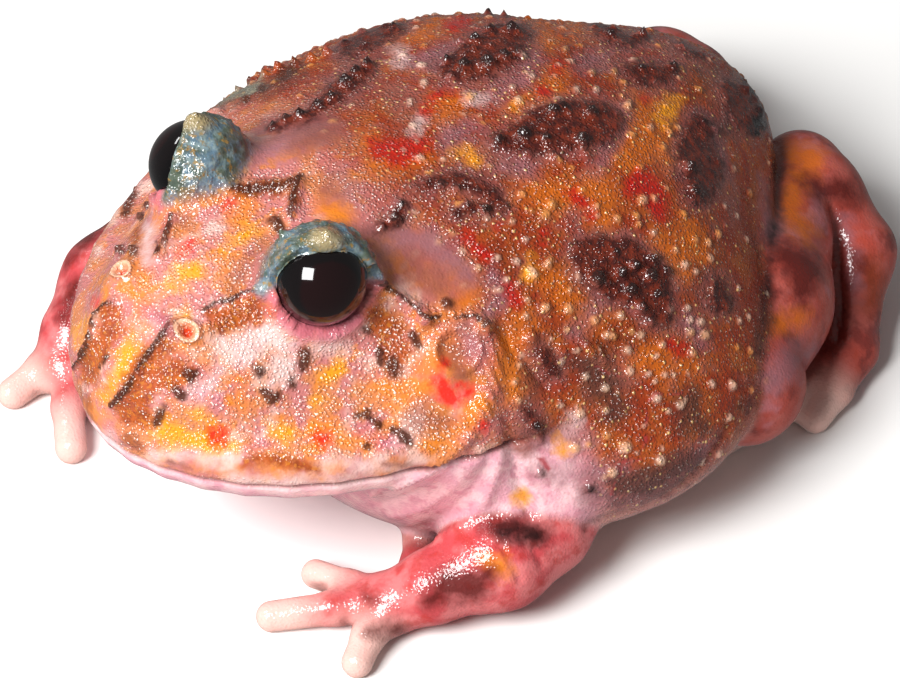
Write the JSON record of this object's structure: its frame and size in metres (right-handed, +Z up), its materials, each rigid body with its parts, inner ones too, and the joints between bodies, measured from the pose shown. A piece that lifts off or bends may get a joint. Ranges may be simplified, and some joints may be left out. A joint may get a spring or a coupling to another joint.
{
  "type": "argentine horned frog",
  "caption": "Life-size still model of a squat horned frog: wide mouth, horned eyelids, warty patched back, short limbs folded at its sides.",
  "frame": {"origin": "middle of the bounding box seen from above, on the floor", "axes": "+X to the frog's left, -Y the way it looks, +Z up"},
  "size_m": [0.0756, 0.0962, 0.0462],
  "materials": {
    "skin_back": "wet gloss, orange-brown with dark warty patches",
    "skin_pale": "wet gloss, pale pink",
    "skin_limb": "wet gloss, pink-red with brown bands",
    "skin_lid": "wet gloss, blue-grey",
    "eye": "polished black"
  },
  "bodies": {
    "root": {"head": "skin_back", "torso": "skin_back", "lower_jaw": "skin_pale", "eye_left": "eye", "eyelid_left": "skin_lid", "upper_arm_left": "skin_limb", "forearm_left": "skin_limb", "hand_left": "skin_limb", "thigh_left": "skin_limb", "shank_left": "skin_limb", "foot_left": "skin_limb", "eye_right": "eye", "eyelid_right": "skin_lid", "upper_arm_right": "skin_limb", "forearm_right": "skin_limb", "hand_right": "skin_limb", "thigh_right": "skin_limb", "shank_right": "skin_limb", "foot_right": "skin_limb"}
  },
  "joints": []
}
